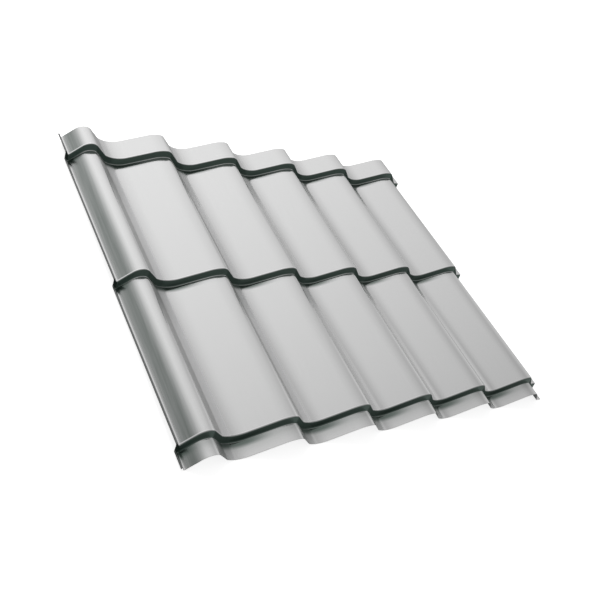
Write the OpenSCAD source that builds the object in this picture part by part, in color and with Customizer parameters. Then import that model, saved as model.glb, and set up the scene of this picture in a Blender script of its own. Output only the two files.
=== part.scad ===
// Tile effect metal roofing sheet: one steel sheet rolled into waves and pressed into tile steps.
// X runs across the waves, Y runs up the roof slope, Z is up, and all sizes are in millimetres.

/* [Sheet] */
// Thickness of the coated steel
sheet_t = 0.6; // [0.4:0.05:1]

/* [Waves across the sheet] */
// Number of whole waves
waves = 5; // [2:1:5]
// Distance from one crest to the next
wave_pitch = 200; // [192:1:212]
// Height from trough to crest
wave_depth = 39; // [36:1:44]
// Slope of the steep side of each wave
flank_angle = 45; // [42:1:52]
// Radius where a crest turns over into its steep side
crest_r = 22; // [16:1:26]
// Radius at the foot of the steep side
foot_r = 16; // [12:1:22]
// Slope at which the foot radius opens into the wider trough
foot_exit_angle = 24; // [18:1:28]
// Radius of the wide trough
trough_r = 72; // [60:1:84]
// Radius where the gentle side of a wave rises into the next crest
crown_r = 90; // [80:1:105]

/* [Tile steps along the sheet] */
// Number of whole tile rows
tile_rows = 2; // [1:1:2]
// Distance from one pressed step to the next
row_pitch = 403; // [350:1:410]
// Height of each pressed step
step_h = 16.5; // [14:0.5:20]
// Distance the step face leans out from top to bottom
step_lean = 4.5; // [3:0.5:12]
// Bend radius along the top of each step
step_top_r = 3; // [2:0.5:4]
// Bend radius along the bottom of each step
step_foot_r = 3; // [2:0.5:4]
// Strip above the highest step, which goes under the sheet above
top_strip = 68; // [50:1:80]
// Strip below the lowest step, which laps over the sheet below
eave_strip = 39; // [25:1:50]

/* [Side that goes under the next sheet] */
// Slope of the outer side of the first crest
under_angle = 48; // [44:1:54]
// Radius over the outer half of the first crest
under_crest_r = 31; // [25:1:35]
// Inner radius of the drain channel
channel_r = 2; // [1.5:0.5:4]
// Slope of the lip that closes the drain channel
lip_angle = 60; // [52:1:66]
// Length of the sloping part of the lip
lip_w = 9; // [7:0.5:12]
// Bend radius at the top of the lip
lip_r = 1.6; // [1.2:0.1:2]
// Height of the edge turned down from the lip
lip_edge = 2; // [1.5:0.5:4]

/* [Side that laps over the next sheet] */
// Bend radius between the last steep side and its flange
flange_r = 6; // [4:1:10]
// Width of the flat flange
flange_w = 16; // [10:1:20]

/* [Hidden] */
// Number of straight pieces that make up each kind of bend
small_count = 2;
bend_count = 3;
crest_count = 4;
trough_count = 5;
// Slopes of a tile row and of a step face, seen from the side
row_slope = atan(step_h / (row_pitch - step_lean));
face_slope = atan(step_h / step_lean);
bend_half_tan = tan((face_slope + row_slope) / 2);
trim = (step_top_r + step_foot_r) * bend_half_tan;
face_len = norm([step_h, step_lean]) - trim;
row_len = norm([row_pitch - step_lean, step_h]) - trim;
top_len = top_strip / cos(row_slope) - step_top_r * bend_half_tan;
eave_len = eave_strip / cos(row_slope) - step_foot_r * bend_half_tan;
// Straight part of the steep side that brings the wave down to its full depth
crest_drop = crest_r * (1 - cos(flank_angle));
foot_drop = foot_r * (cos(foot_exit_angle) - cos(flank_angle));
trough_drop = trough_r * (1 - cos(foot_exit_angle));
flank_len = (wave_depth - crest_drop - foot_drop - trough_drop) / sin(flank_angle);
// Trough position from its crest, and the gentle side as the line that touches trough and crown
foot_run = foot_r * (sin(flank_angle) - sin(foot_exit_angle)) + trough_r * sin(foot_exit_angle);
trough_x = crest_r * sin(flank_angle) + flank_len * cos(flank_angle) + foot_run;
pan_dx = wave_pitch - trough_x;
pan_dz = wave_depth - crown_r - trough_r;
pan_angle = atan2(pan_dz, pan_dx) + asin((crown_r + trough_r) / norm([pan_dx, pan_dz]));
pan_len = sqrt(pan_dx * pan_dx + pan_dz * pan_dz - pow(crown_r + trough_r, 2));
// Straight parts of the two outer sides
under_bends = under_crest_r * (1 - cos(under_angle)) + channel_r * (1 - cos(under_angle));
under_len = (wave_depth - under_bends) / sin(under_angle);
flange_bends = (crest_r + flange_r) * (1 - cos(flank_angle));
over_len = (wave_depth - flange_bends) / sin(flank_angle);

// A place on a path is [distance, height, heading]; a straight keeps the heading
function straight(len_mm) = ["straight", len_mm];

// A bend turns from the heading it meets to a new one, in a number of segments
function bend(radius, heading, segments) = ["bend", radius, heading, segments];

function bend_place(from, radius, a) =
    let (r = a > from[2] ? radius : -radius)
    [from[0] + r * (sin(a) - sin(from[2])), from[1] + r * (cos(from[2]) - cos(a)), a];

function places(move, from) =
    move[0] == "straight"
    ? [[from[0] + move[1] * cos(from[2]), from[1] + move[1] * sin(from[2]), from[2]]]
    : [for (k = [1:move[3]]) bend_place(from, move[1], from[2] + (move[2] - from[2]) * k / move[3])];

function walk(moves, from, i = 0) =
    i == len(moves)
    ? [from]
    : concat([from], walk_on(moves, places(moves[i], from), i));

function walk_on(moves, reached, i) =
    let (n = len(reached))
    concat([for (k = [0:1:n - 2]) reached[k]], walk(moves, reached[n - 1], i + 1));

// Half bend over a crest and down the steep side
over_crest = [bend(crest_r, -flank_angle, crest_count)];

// From one crest through the trough and up the gentle side to the next crest
wave_moves = [
    over_crest[0],
    straight(flank_len),
    bend(foot_r, -foot_exit_angle, small_count),
    bend(trough_r, pan_angle, trough_count),
    straight(pan_len),
    bend(crown_r, 0, bend_count)
];

// Turned-down edge, lip, drain channel and outer side of the first crest
under_moves = [
    straight(lip_edge),
    bend(lip_r, -lip_angle, bend_count),
    straight(lip_w),
    bend(channel_r, under_angle, bend_count),
    straight(under_len),
    bend(under_crest_r, 0, crest_count)
];

over_moves = [
    over_crest[0],
    straight(over_len),
    bend(flange_r, 0, small_count),
    straight(flange_w)
];

all_waves = [for (w = [1:waves]) for (move = wave_moves) move];
across = walk(concat(under_moves, all_waves, over_moves), [0, 0, 90]);

// A pressed step from its foot up over its top bend
step_moves = [
    bend(step_foot_r, face_slope, bend_count),
    straight(face_len),
    bend(step_top_r, -row_slope, bend_count)
];

rows_above = [for (r = [1:tile_rows]) for (move = concat([straight(row_len)], step_moves)) move];
along_moves = concat([straight(eave_len)], step_moves, rows_above, [straight(top_len)]);
along = walk(along_moves, [0, 0, -row_slope]);

cols = len(across);
rows = len(along);

// The steel is offset square to both paths; the two cut ends stay in one upright plane
function square_to(c, d) = [-sin(c) * cos(d), -cos(c) * sin(d), cos(c) * cos(d)];

function end_free(i, d) = i == 0 || i == rows - 1 ? 0 : d;

function down_into(c, d) = let (n = square_to(c, d)) -sheet_t * n / norm(n);

function skin_point(i, j) = [across[j][0], along[i][0], across[j][1] + along[i][1]];

function back_point(i, j) = skin_point(i, j) + down_into(across[j][2], end_free(i, along[i][2]));

face_points = [for (i = [0:rows - 1]) for (j = [0:cols - 1]) skin_point(i, j)];
back_points = [for (i = [0:rows - 1]) for (j = [0:cols - 1]) back_point(i, j)];
all_points = concat(face_points, back_points);

// The origin goes to the middle of the footprint, at the lowest point
function low(axis) = min([for (p = all_points) p[axis]]);

function high(axis) = max([for (p = all_points) p[axis]]);

origin = [(low(0) + high(0)) / 2, (low(1) + high(1)) / 2, low(2)];

function f(i, j) = i * cols + j;

function b(i, j) = (rows + i) * cols + j;

function pair(p, q, r, s) = [[p, q, r], [p, r, s]];

top_faces = [
    for (i = [0:rows - 2]) for (j = [0:cols - 2])
    each pair(f(i, j), f(i + 1, j), f(i + 1, j + 1), f(i, j + 1))
];
back_faces = [
    for (i = [0:rows - 2]) for (j = [0:cols - 2])
    each pair(b(i, j), b(i, j + 1), b(i + 1, j + 1), b(i + 1, j))
];
eave_faces = [
    for (j = [0:cols - 2])
    each pair(f(0, j), f(0, j + 1), b(0, j + 1), b(0, j))
];
ridge_faces = [
    for (j = [0:cols - 2])
    each pair(f(rows - 1, j + 1), f(rows - 1, j), b(rows - 1, j), b(rows - 1, j + 1))
];
under_faces = [
    for (i = [0:rows - 2])
    each pair(f(i + 1, 0), f(i, 0), b(i, 0), b(i + 1, 0))
];
over_faces = [
    for (i = [0:rows - 2])
    each pair(f(i, cols - 1), f(i + 1, cols - 1), b(i + 1, cols - 1), b(i, cols - 1))
];

module roofing_sheet() {
    color([0.74, 0.75, 0.75])
    translate(-origin)
    polyhedron(
        points = all_points,
        faces = concat(top_faces, back_faces, eave_faces, ridge_faces, under_faces, over_faces),
        convexity = 10
    );
}

roofing_sheet();
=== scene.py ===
from math import asin, atan2, atan, cos, degrees, hypot, radians, sin, sqrt, tan

import bmesh
import bpy
from mathutils import Matrix, Vector


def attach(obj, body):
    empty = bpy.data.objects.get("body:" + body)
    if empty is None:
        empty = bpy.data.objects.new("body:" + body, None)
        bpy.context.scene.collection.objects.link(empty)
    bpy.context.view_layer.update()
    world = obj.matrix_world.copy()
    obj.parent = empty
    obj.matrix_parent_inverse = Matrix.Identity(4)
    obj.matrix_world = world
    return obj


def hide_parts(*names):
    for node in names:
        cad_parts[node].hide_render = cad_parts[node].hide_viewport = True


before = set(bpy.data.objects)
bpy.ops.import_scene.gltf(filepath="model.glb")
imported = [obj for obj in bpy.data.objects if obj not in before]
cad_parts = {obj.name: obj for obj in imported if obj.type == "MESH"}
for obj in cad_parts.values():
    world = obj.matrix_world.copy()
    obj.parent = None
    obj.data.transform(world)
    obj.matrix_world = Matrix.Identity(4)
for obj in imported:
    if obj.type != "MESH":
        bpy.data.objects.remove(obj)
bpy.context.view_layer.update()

# Sizes of the sheet, in millimetres and degrees, as in its CAD source
STEEL = 0.6
WAVES = 5
WAVE_PITCH = 200
WAVE_DEPTH = 39
FLANK_ANGLE = 45
CREST_R = 22
FOOT_R = 16
FOOT_EXIT_ANGLE = 24
TROUGH_R = 72
CROWN_R = 90
TILE_ROWS = 2
ROW_PITCH = 403
STEP_H = 16.5
STEP_LEAN = 4.5
STEP_TOP_R = 3
STEP_FOOT_R = 3
TOP_STRIP = 68
EAVE_STRIP = 39
UNDER_ANGLE = 48
UNDER_CREST_R = 31
CHANNEL_R = 2
LIP_ANGLE = 60
LIP_W = 9
LIP_R = 1.6
LIP_EDGE = 2
FLANGE_R = 6
FLANGE_W = 16

# Narrow strip beside every cut edge and every step, which keeps the shading flat right up to it
RIM = 0.3

# Where the photograph was taken from, read from its edges; distances in metres
CAMERA_PLACE = Vector((-1.2006, -0.9629, 1.1424))
CAMERA_TARGET = Vector((-0.0803, -0.0701, 0.0))
CAMERA_ROLL = 35.54
CAMERA_LENS = 43.89


class Wire:
    """A node's output that takes part in sums as a number would."""

    def __init__(self, net, socket):
        self.net = net
        self.socket = socket

    def math(self, operation, *others, clamp=False):
        values = {i + 1: other for i, other in enumerate(others)}
        values[0] = self
        return self.net.node("ShaderNodeMath", {"operation": operation, "use_clamp": clamp}, values)["Value"]

    def __add__(self, other):
        return self.math("ADD", other)

    def __mul__(self, other):
        return self.math("MULTIPLY", other)

    def __sub__(self, other):
        return self.math("SUBTRACT", other)

    def __truediv__(self, other):
        return self.math("DIVIDE", other)

    def __pow__(self, other):
        return self.math("POWER", other)

    def __neg__(self):
        return self * -1.0

    def __rsub__(self, other):
        return -self + other

    def __rtruediv__(self, other):
        return self ** -1.0 * other

    __radd__ = __add__
    __rmul__ = __mul__

    def clamped(self):
        return self.math("ADD", 0.0, clamp=True)

    def between(self, low, high):
        """0 below low, 1 above high, and a smooth rise from one to the other."""
        values = {"Value": self, "From Min": low, "From Max": high}
        return self.net.node("ShaderNodeMapRange", {"interpolation_type": "SMOOTHSTEP"}, values)["Result"]


class Net:
    """A node tree that is written as calls and sums."""

    def __init__(self, tree):
        self.tree = tree

    def node(self, kind, settings=None, values=None):
        made = self.tree.nodes.new(kind)
        for name, setting in (settings or {}).items():
            setattr(made, name, setting)
        for name, value in (values or {}).items():
            self.plug(made.inputs[name], value)
        return {socket.name: Wire(self, socket) for socket in reversed(made.outputs) if socket.enabled}

    def plug(self, socket, value):
        for one in value if isinstance(value, list) else [value]:
            if isinstance(one, Wire):
                self.tree.links.new(one.socket, socket)
            else:
                socket.default_value = one

    def vector(self, operation, a, b):
        return self.node("ShaderNodeVectorMath", {"operation": operation}, {0: a, 1: b})["Vector"]

    def xyz(self, x, y, z):
        return self.node("ShaderNodeCombineXYZ", None, {"X": x, "Y": y, "Z": z})["Vector"]

    def mix(self, factor, a, b):
        """One colour turning into another."""
        values = {"Factor": factor, 6: a, 7: b}
        return self.node("ShaderNodeMix", {"data_type": "RGBA"}, values)["Result"]

    def noise(self, place, scale, detail, roughness=0.5):
        values = {"Vector": place, "Scale": scale, "Detail": detail, "Roughness": roughness}
        return self.node("ShaderNodeTexNoise", None, values)["Fac"]


def to_deg(run, rise):
    return degrees(atan2(rise, run))


def sine(angle):
    return sin(radians(angle))


def cosine(angle):
    return cos(radians(angle))


def straight(length, pieces=1, zone=None):
    return ("straight", length, pieces, zone)


def bend(radius, heading, pieces, zone=None):
    return ("bend", radius, heading, pieces, zone)


def walk(moves, heading):
    """Places (distance, height, heading, length so far, zone) along a path of straights and bends."""
    x, z, run = 0.0, 0.0, 0.0
    path = [(x, z, heading, run, moves[0][-1])]
    for move in moves:
        start_x, start_z, start_heading, start_run = x, z, heading, run
        if move[0] == "straight":
            kind, length, pieces, zone = move
            for k in range(1, pieces + 1):
                run = start_run + length * k / pieces
                x = start_x + (run - start_run) * cosine(heading)
                z = start_z + (run - start_run) * sine(heading)
                path.append((x, z, heading, run, zone))
            continue
        kind, radius, target, pieces, zone = move
        r = radius if target > heading else -radius
        for k in range(1, pieces + 1):
            heading = start_heading + (target - start_heading) * k / pieces
            x = start_x + r * (sine(heading) - sine(start_heading))
            z = start_z + r * (cosine(start_heading) - cosine(heading))
            run = start_run + abs(radians(heading - start_heading)) * radius
            path.append((x, z, heading, run, zone))
    return path


def wave_path():
    """The section across the sheet: lip, drain channel, every wave, and the flange."""
    crest_drop = CREST_R * (1 - cosine(FLANK_ANGLE))
    foot_drop = FOOT_R * (cosine(FOOT_EXIT_ANGLE) - cosine(FLANK_ANGLE))
    trough_drop = TROUGH_R * (1 - cosine(FOOT_EXIT_ANGLE))
    flank = (WAVE_DEPTH - crest_drop - foot_drop - trough_drop) / sine(FLANK_ANGLE)
    foot_run = FOOT_R * (sine(FLANK_ANGLE) - sine(FOOT_EXIT_ANGLE)) + TROUGH_R * sine(FOOT_EXIT_ANGLE)
    trough_x = CREST_R * sine(FLANK_ANGLE) + flank * cosine(FLANK_ANGLE) + foot_run
    across, rise = WAVE_PITCH - trough_x, WAVE_DEPTH - CROWN_R - TROUGH_R
    pan_angle = to_deg(across, rise) + degrees(asin((CROWN_R + TROUGH_R) / hypot(across, rise)))
    pan = sqrt(across ** 2 + rise ** 2 - (CROWN_R + TROUGH_R) ** 2)
    under = WAVE_DEPTH - (UNDER_CREST_R + CHANNEL_R) * (1 - cosine(UNDER_ANGLE))
    over = WAVE_DEPTH - (CREST_R + FLANGE_R) * (1 - cosine(FLANK_ANGLE))
    wave = [
        bend(CREST_R, -FLANK_ANGLE, 10, "crest"),
        straight(flank, 4, "flank"),
        bend(FOOT_R, -FOOT_EXIT_ANGLE, 5, "foot"),
        bend(TROUGH_R, pan_angle, 14, "trough"),
        straight(pan, 6, "pan"),
        bend(CROWN_R, 0, 9, "crown"),
    ]
    under_side = [
        straight(RIM, 1, "edge"),
        straight(LIP_EDGE - RIM, 1, "edge"),
        bend(LIP_R, -LIP_ANGLE, 8, "lip"),
        straight(LIP_W, 2, "lip"),
        bend(CHANNEL_R, UNDER_ANGLE, 6, "channel"),
        straight(under / sine(UNDER_ANGLE), 14, "outer"),
        bend(UNDER_CREST_R, 0, 10, "outer"),
    ]
    over_side = [
        bend(CREST_R, -FLANK_ANGLE, 10, "crest"),
        straight(over / sine(FLANK_ANGLE), 4, "flank"),
        bend(FLANGE_R, 0, 6, "flange"),
        straight(FLANGE_W - RIM, 2, "flange"),
        straight(RIM, 1, "flange"),
    ]
    return walk(under_side + wave * WAVES + over_side, 90.0)


def step_path():
    """The section up the slope: strips, tile rows, and the pressed steps between them."""
    row_slope = degrees(atan(STEP_H / (ROW_PITCH - STEP_LEAN)))
    face_slope = degrees(atan(STEP_H / STEP_LEAN))
    half = tan(radians((face_slope + row_slope) / 2))
    trim = (STEP_TOP_R + STEP_FOOT_R) * half
    step = [
        bend(STEP_FOOT_R, face_slope, 6, "step"),
        straight(hypot(STEP_H, STEP_LEAN) - trim, 4, "step"),
        bend(STEP_TOP_R, -row_slope, 6, "step"),
    ]

    def flat(length, pieces):
        rim = straight(RIM, 1, "row")
        return [rim, straight(length - 2 * RIM, pieces, "row"), rim]

    row = flat(hypot(ROW_PITCH - STEP_LEAN, STEP_H) - trim, 12)
    top = flat(TOP_STRIP / cosine(row_slope) - STEP_TOP_R * half, 3)
    eave = flat(EAVE_STRIP / cosine(row_slope) - STEP_FOOT_R * half, 2)
    return walk(eave + step + (row + step) * TILE_ROWS + top, -row_slope)


def path_object(name, path, direction, centre, extra):
    """A line of points along X or Y that carries its headings and lengths, for the sheet's tree to read."""
    mesh = bpy.data.meshes.new(name)
    places = [(direction * ((x - centre) / 1000) + Vector((0, 0, z / 1000))) for x, z, *_ in path]
    mesh.from_pydata(places, [(i, i + 1) for i in range(len(path) - 1)], [])
    columns = {"heading": [radians(p[2]) for p in path], "run": [p[3] / 1000 for p in path]}
    columns.update(extra)
    for label, numbers in columns.items():
        mesh.attributes.new(label, "FLOAT", "POINT").data.foreach_set("value", numbers)
    made = bpy.data.objects.new(name, mesh)
    bpy.context.scene.collection.objects.link(made)
    return made


def rise(value, low, high):
    """A smooth rise from 0 at low to 1 at high."""
    t = min(max((value - low) / (high - low), 0.0), 1.0)
    return t * t * (3 - 2 * t)


def wave_shades(waves):
    """Per place of the wave section: painted shade for the outer side, the edge of the lip and the steep sides; soft
    feet; hollows.
    """
    outer_start = next(p[3] for p in waves if p[4] == "channel")
    crest_z = max(p[1] for p in waves)
    outer, lip, steep, soft, hollow = [], [], [], [], []
    for _, z, heading, run, zone in waves:
        up = run - outer_start
        # Painted shade: the outer side is darkest just above the channel and fades towards the first crest.
        dark = 0.76 * rise(up, 1.5, 8.0) + 0.24 * rise(up, 6.0, 20.0)
        outer.append(dark * (1.0 - rise(up, 27.0, 57.0)) if zone in ("outer", "channel") else 0.0)
        # Painted shade: the lip's edge strip and the first part of its bend are marked for a near-black line.
        lip.append(1.0 if zone == "edge" or (zone == "lip" and heading > -LIP_ANGLE / 2) else 0.0)
        # Painted shade: steep sides of the waves, from 26 to 44 degrees down, are marked for darkening.
        steep.append(rise(-heading, 26.0, 44.0) if zone not in ("edge", "lip", "channel", "outer") else 0.0)
        soft.append(rise(-heading, 2.0, 16.0) if zone in ("flank", "foot", "trough") else steep[-1])
        hollow.append(rise(crest_z - z, 8.0, 34.0))
    return {"outer_side": outer, "lip_line": lip, "steep_side": steep, "soft_foot": soft, "hollow": hollow}


def step_lengths():
    """Lengths along the surface, in metres: to the first step's foot, from foot to foot, and of one step."""
    path = step_path()
    feet = [path[i - 1][3] for i in range(1, len(path)) if path[i][4] == "step" and path[i - 1][4] != "step"]
    tops = [path[i][3] for i in range(1, len(path) - 1) if path[i][4] == "step" and path[i + 1][4] != "step"]
    return feet[0] / 1000, (feet[1] - feet[0]) / 1000, (tops[0] - feet[0]) / 1000


def pressed_sheet_tree():
    """Geometry nodes: every place of the wave section is carried along every place of the step section."""
    tree = bpy.data.node_groups.new("pressed_sheet", "GeometryNodeTree")
    net = Net(tree)
    for label, kind in (
        ("Wave Section", "NodeSocketObject"),
        ("Step Section", "NodeSocketObject"),
        ("Steel Thickness", "NodeSocketFloat"),
        ("Coating", "NodeSocketMaterial"),
    ):
        tree.interface.new_socket(label, in_out="INPUT", socket_type=kind)
    tree.interface.new_socket("Geometry", in_out="OUTPUT", socket_type="NodeSocketGeometry")
    given = net.node("NodeGroupInput")
    wave = net.node("GeometryNodeObjectInfo", None, {"Object": given["Wave Section"]})["Geometry"]
    step = net.node("GeometryNodeObjectInfo", None, {"Object": given["Step Section"]})["Geometry"]
    columns = net.node("GeometryNodeAttributeDomainSize", None, {"Geometry": wave})["Point Count"]
    rows = net.node("GeometryNodeAttributeDomainSize", None, {"Geometry": step})["Point Count"]
    grid = net.node("GeometryNodeMeshGrid", None, {"Vertices X": columns, "Vertices Y": rows})["Mesh"]
    index = net.node("GeometryNodeInputIndex")["Index"]
    column = (index / rows + 0.0001).math("FLOOR")
    row = index - column * rows
    place = net.node("GeometryNodeInputPosition")["Position"]

    def read(source, at, label):
        kind = "FLOAT" if label else "FLOAT_VECTOR"
        value = place
        if label:
            value = net.node("GeometryNodeInputNamedAttribute", {"data_type": kind}, {"Name": label})["Attribute"]
        values = {"Geometry": source, "Value": value, "Index": at}
        return net.node("GeometryNodeSampleIndex", {"data_type": kind}, values)["Value"]

    def keep(geometry, label, value, kind="FLOAT", domain="POINT", selection=True):
        settings = {"data_type": kind, "domain": domain}
        values = {"Geometry": geometry, "Selection": selection, "Name": label, "Value": value}
        return net.node("GeometryNodeStoreNamedAttribute", settings, values)["Geometry"]

    face = net.vector("ADD", read(wave, column, None), read(step, row, None))
    across, along = read(wave, column, "heading"), read(step, row, "cut_heading")
    lean_x = -across.math("SINE") * along.math("COSINE")
    lean_y = -across.math("COSINE") * along.math("SINE")
    lean_z = across.math("COSINE") * along.math("COSINE")
    square = net.vector("NORMALIZE", net.xyz(lean_x, lean_y, lean_z), (0.0, 0.0, 0.0))
    depth = net.node("ShaderNodeVectorMath", {"operation": "SCALE"}, {0: square, "Scale": given["Steel Thickness"]})
    back = net.vector("SUBTRACT", face, depth["Vector"])

    skin = grid
    for label, source, at in (
        ("across_run", wave, column),
        ("outer_side", wave, column),
        ("lip_line", wave, column),
        ("steep_side", wave, column),
        ("soft_foot", wave, column),
        ("hollow", wave, column),
        ("along_run", step, row),
    ):
        skin = keep(skin, label, read(source, at, "run" if label.endswith("_run") else label))
    skin = keep(skin, "back_place", back, "FLOAT_VECTOR")
    skin = net.node("GeometryNodeSetPosition", None, {"Geometry": skin, "Position": face})["Geometry"]
    drawn = net.node("GeometryNodeExtrudeMesh", {"mode": "FACES"}, {"Mesh": skin, "Offset Scale": 0.001, "Individual": False})
    to_back = net.node("GeometryNodeInputNamedAttribute", {"data_type": "FLOAT_VECTOR"}, {"Name": "back_place"})["Attribute"]
    values = {"Geometry": drawn["Mesh"], "Selection": drawn["Top"], "Position": to_back}
    shell = net.node("GeometryNodeSetPosition", None, values)["Geometry"]
    shell = keep(shell, "underside", 1.0, domain="FACE", selection=drawn["Top"])
    shell = keep(shell, "cut_edge", 1.0, domain="FACE", selection=drawn["Side"])
    shell = net.node("GeometryNodeFlipFaces", None, {"Mesh": shell})["Mesh"]
    both = net.node("GeometryNodeJoinGeometry", None, {"Geometry": [skin, shell]})["Geometry"]
    whole = net.node("GeometryNodeMergeByDistance", None, {"Geometry": both, "Distance": 0.000001})["Geometry"]
    is_cut = net.node("GeometryNodeInputNamedAttribute", {"data_type": "FLOAT"}, {"Name": "cut_edge"})["Attribute"]
    smooth = net.node("FunctionNodeCompare", {"operation": "LESS_THAN"}, {"A": is_cut, "B": 0.5})["Result"]
    values = {"Geometry": whole, "Shade Smooth": smooth}
    whole = net.node("GeometryNodeSetShadeSmooth", None, values)["Geometry"]
    whole = net.node("GeometryNodeRealizeInstances", None, {"Geometry": whole})["Geometry"]
    whole = net.node("GeometryNodeSetMaterial", None, {"Geometry": whole, "Material": given["Coating"]})["Geometry"]
    out = tree.nodes.new("NodeGroupOutput")
    net.plug(out.inputs["Geometry"], whole)
    return tree


def make_sheet(coating):
    """Runs the tree once and keeps its result as a plain mesh."""
    waves, steps = wave_path(), step_path()
    cuts = [radians(p[2]) for p in steps]
    cuts[0] = cuts[-1] = 0.0
    middle_x = (waves[0][0] + waves[-1][0]) / 2
    middle_y = (steps[0][0] + steps[-1][0]) / 2
    wave_line = path_object("wave_section", waves, Vector((1, 0, 0)), middle_x, wave_shades(waves))
    step_line = path_object("step_section", steps, Vector((0, 1, 0)), middle_y, {"cut_heading": cuts})
    carrier = bpy.data.objects.new("sheet_carrier", bpy.data.meshes.new("sheet_carrier"))
    bpy.context.scene.collection.objects.link(carrier)
    modifier = carrier.modifiers.new("pressed sheet", "NODES")
    modifier.node_group = tree = pressed_sheet_tree()
    inputs = {"Wave Section": wave_line, "Step Section": step_line, "Steel Thickness": STEEL / 1000, "Coating": coating}
    for socket in tree.interface.items_tree:
        if socket.in_out == "INPUT":
            modifier[socket.identifier] = inputs[socket.name]
    seen = bpy.context.evaluated_depsgraph_get()
    mesh = bpy.data.meshes.new_from_object(carrier.evaluated_get(seen))
    for line in (wave_line, step_line, carrier):
        bpy.data.objects.remove(line)
    lowest = min(v.co.z for v in mesh.vertices)
    mesh.transform(Matrix.Translation((0, 0, -lowest)))
    mesh.name = "tile_sheet"
    sheet = bpy.data.objects.new("tile_sheet", mesh)
    bpy.context.scene.collection.objects.link(sheet)
    return sheet


def new_material(name):
    material = bpy.data.materials.new(name)
    material.use_nodes = True
    material.node_tree.nodes.clear()
    return material, Net(material.node_tree)


def satin_coating():
    """Smooth silver-grey satin paint on zinc-coated steel: fine flake and faint rolling marks, with painted shade and
    painted reflection on the step faces, outer side, steep sides, lip edge and step feet, and a painted highlight on
    each step's top bend.
    """
    material, net = new_material("satin_silver_coating")
    place = net.node("ShaderNodeTexCoord")["Object"]

    def mark(name):
        return net.node("ShaderNodeAttribute", {"attribute_name": name})["Fac"]

    def stretched(x, y, z):
        return net.vector("MULTIPLY", place, (x, y, z))

    first_foot, foot_to_foot, step_run = step_lengths()
    steps_up = (mark("along_run") - first_foot) / foot_to_foot
    step_number = steps_up.math("FLOOR")
    above_foot = (steps_up - step_number) * foot_to_foot
    # Painted shade and painted reflection: each step face gets a dark green-grey colour in place of the dim
    # surroundings it mirrors; the coating there is silver.
    seam = step_number * 0.0006 + 0.0002
    face = above_foot.between(seam, seam + 0.0016) * (1.0 - above_foot.between(step_run - 0.0030, step_run - 0.0016))
    # Painted highlight: a thin pale line along each step's top bend.
    painted_edge_highlight = above_foot.between(step_run - 0.0016, step_run - 0.0008) * (1.0 - above_foot.between(step_run + 0.0010, step_run + 0.0022))
    below_foot = foot_to_foot - above_foot
    eave_shade = step_number.math("LESS_THAN", -0.5) * (1.0 - below_foot.between(0.0, 0.036))
    at_foot = 1.0 - below_foot.between(0.005, 0.017) + (1.0 - above_foot.between(0.001, 0.003)) * 0.7
    foot_shade = at_foot * (mark("hollow") * 0.78 + 0.1)
    at = net.node("ShaderNodeSeparateXYZ", None, {"Vector": place})
    # The painted shade on the steep sides fades out towards the sheet's lower right corner.
    lower_right = (at["X"] * 0.6 - at["Y"] * 0.8).between(0.0, 0.4)

    flake = net.noise(place, 2600.0, 2.0)
    cloud = net.noise(place, 5.0, 3.0)
    rolled = net.noise(stretched(1.0, 0.003, 1.0), 260.0, 3.0, 0.6)
    outer = mark("outer_side")
    lip = mark("lip_line")
    silver = net.mix(flake.between(0.3, 0.7), (0.80, 0.80, 0.80, 1), (0.84, 0.84, 0.84, 1))
    silver = net.mix(cloud * 0.12, silver, (0.70, 0.705, 0.705, 1))
    silver = net.mix(rolled.between(0.35, 0.75) * 0.05, silver, (0.62, 0.63, 0.63, 1))
    # Painted shade and painted reflection on the outer side of the first crest
    silver = net.mix(outer * (0.86 + rolled.between(0.3, 0.7) * 0.14), silver, (0.24, 0.262, 0.25, 1))
    # Painted shade on the steep sides, weaker towards the lower right
    silver = net.mix(mark("steep_side") * (0.42 - lower_right * 0.3), silver, (0.36, 0.365, 0.36, 1))
    silver = net.mix(eave_shade * (mark("hollow") * 0.12 + 0.34), silver, (0.28, 0.31, 0.29, 1))
    silver = net.mix(foot_shade, silver, (0.12, 0.16, 0.14, 1))
    # Painted highlight along the steps' top bends
    silver = net.mix(painted_edge_highlight * 0.8, silver, (0.94, 0.94, 0.94, 1))
    # Painted shade and painted reflection on the step faces
    silver = net.mix(face * 0.97, silver, (0.10, 0.15, 0.127, 1))
    # Painted shade: near-black line along the lip's edge
    silver = net.mix(lip * 0.8, silver, (0.05, 0.06, 0.055, 1))
    silver = net.mix(mark("underside") * 0.85, silver, (0.13, 0.14, 0.14, 1))
    silver = net.mix(mark("cut_edge") * 0.8, silver, (0.30, 0.31, 0.31, 1))
    rough = 0.10 + flake * 0.02 + cloud * 0.02 + rolled * 0.01 + face * 0.2 + mark("soft_foot") * 0.4 + outer * 0.12
    grain = flake * 0.3 + rolled * 0.7
    bump = net.node("ShaderNodeBump", None, {"Strength": 0.03, "Distance": 0.0002, "Height": grain})["Normal"]
    values = {"Base Color": silver, "Roughness": rough, "Metallic": 0.95, "Normal": bump, "Specular IOR Level": 0.3}
    surface = net.node("ShaderNodeBsdfPrincipled", None, values)["BSDF"]
    net.node("ShaderNodeOutputMaterial", None, {"Surface": surface})
    return material


def look_at(place, target, roll):
    """The turn of a camera or lamp that looks from place to target."""
    forward = (target - place).normalized()
    level = forward.cross(Vector((0, 0, 1))).normalized()
    up = level.cross(forward)
    lean = radians(roll)
    top = up * cos(lean) - level * sin(lean)
    side = forward.cross(top)
    turn = Matrix((side, top, -forward)).transposed()
    return Matrix.Translation(place) @ turn.to_4x4()


def add_camera():
    data = bpy.data.cameras.new("photo_camera")
    data.lens = CAMERA_LENS
    data.sensor_width = 36.0
    camera = bpy.data.objects.new("photo_camera", data)
    bpy.context.scene.collection.objects.link(camera)
    camera.matrix_world = look_at(CAMERA_PLACE, CAMERA_TARGET, CAMERA_ROLL)
    bpy.context.scene.camera = camera


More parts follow.
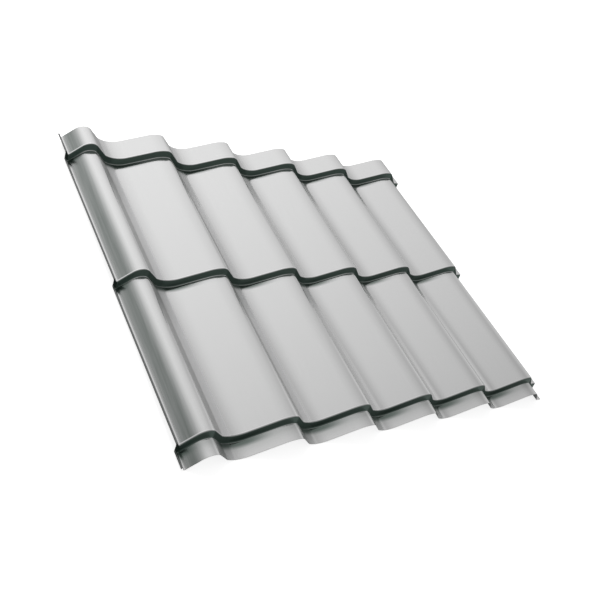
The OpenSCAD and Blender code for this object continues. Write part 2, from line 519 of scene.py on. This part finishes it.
def add_softbox(name, place, target, size, power, colour=(1, 1, 1)):
    data = bpy.data.lights.new(name, "AREA")
    data.shape = "RECTANGLE"
    data.size, data.size_y = size
    data.energy = power
    data.color = colour
    lamp = bpy.data.objects.new(name, data)
    bpy.context.scene.collection.objects.link(lamp)
    lamp.matrix_world = look_at(Vector(place), Vector(target), 0)
    lamp.visible_glossy = False


def light_path(net):
    """For the camera and clear parts, and for reflections: 1 where a ray is of that kind, else 0."""
    path = net.node("ShaderNodeLightPath")
    return path["Is Camera Ray"].math("MAXIMUM", path["Is Transmission Ray"]), path["Is Glossy Ray"]


def add_floor():
    """A white floor that keeps the sheet's shadow, and that the sheet mirrors as pale grey."""
    mesh = bpy.data.meshes.new("studio_floor")
    build = bmesh.new()
    bmesh.ops.create_grid(build, x_segments=1, y_segments=1, size=30.0)
    build.to_mesh(mesh)
    build.free()
    material, net = new_material("white_floor")
    seen, mirrored = light_path(net)
    place = net.node("ShaderNodeTexCoord")["Object"]
    away = net.node("ShaderNodeVectorMath", {"operation": "LENGTH"}, {0: place})["Value"]
    tone = net.mix(seen, (0.35, 0.35, 0.35, 1), (0.95, 0.95, 0.95, 1))
    plain = net.node("ShaderNodeBsdfDiffuse", None, {"Color": tone})["BSDF"]
    strength = seen * (0.8 + away.between(0.8, 2.5) * 0.2) + mirrored * 0.30
    lift = net.node("ShaderNodeEmission", None, {"Color": (1, 1, 1, 1), "Strength": strength})["Emission"]
    both = net.node("ShaderNodeAddShader", None, {0: plain, 1: lift})["Shader"]
    net.node("ShaderNodeOutputMaterial", None, {"Surface": both})
    mesh.materials.append(material)
    floor = bpy.data.objects.new("studio_floor", mesh)
    bpy.context.scene.collection.objects.link(floor)


def add_sky():
    """White behind the sheet; what the sheet mirrors is palest low down beyond its top end."""
    world = bpy.data.worlds.new("white_studio")
    bpy.context.scene.world = world
    world.use_nodes = True
    world.node_tree.nodes.clear()
    net = Net(world.node_tree)
    seen, mirrored = light_path(net)
    way = net.node("ShaderNodeSeparateXYZ", None, {"Vector": net.node("ShaderNodeTexCoord")["Generated"]})
    right_wall = way["X"].between(0.62, 0.80) * way["Z"].between(0.15, 0.45) * (1.0 - way["Y"].between(0.38, 0.55))
    far_wall = way["X"].between(0.78, 0.92)
    pale = way["Y"] * 1.04 + way["Z"] * 0.36 - way["X"] * 0.12 - 0.08 + right_wall * 0.2 + far_wall * 0.35
    pale = pale.math("MINIMUM", 1.0).math("MAXIMUM", 0.3)
    strength = 0.25 + seen * 0.75 + mirrored * (pale - 0.25)
    sky = net.node("ShaderNodeBackground", None, {"Color": (1, 1, 1, 1), "Strength": strength})["Background"]
    net.node("ShaderNodeOutputWorld", None, {"Surface": sky})


sheet = make_sheet(satin_coating())
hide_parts("roofing_sheet")
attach(sheet, "root")

add_floor()
add_sky()
add_softbox("key_softbox", (-0.5, 0.95, 1.3), (-0.3, 0.2, 0.0), (1.2, 1.2), 13)
add_camera()
bpy.context.scene.view_settings.view_transform = "Standard"
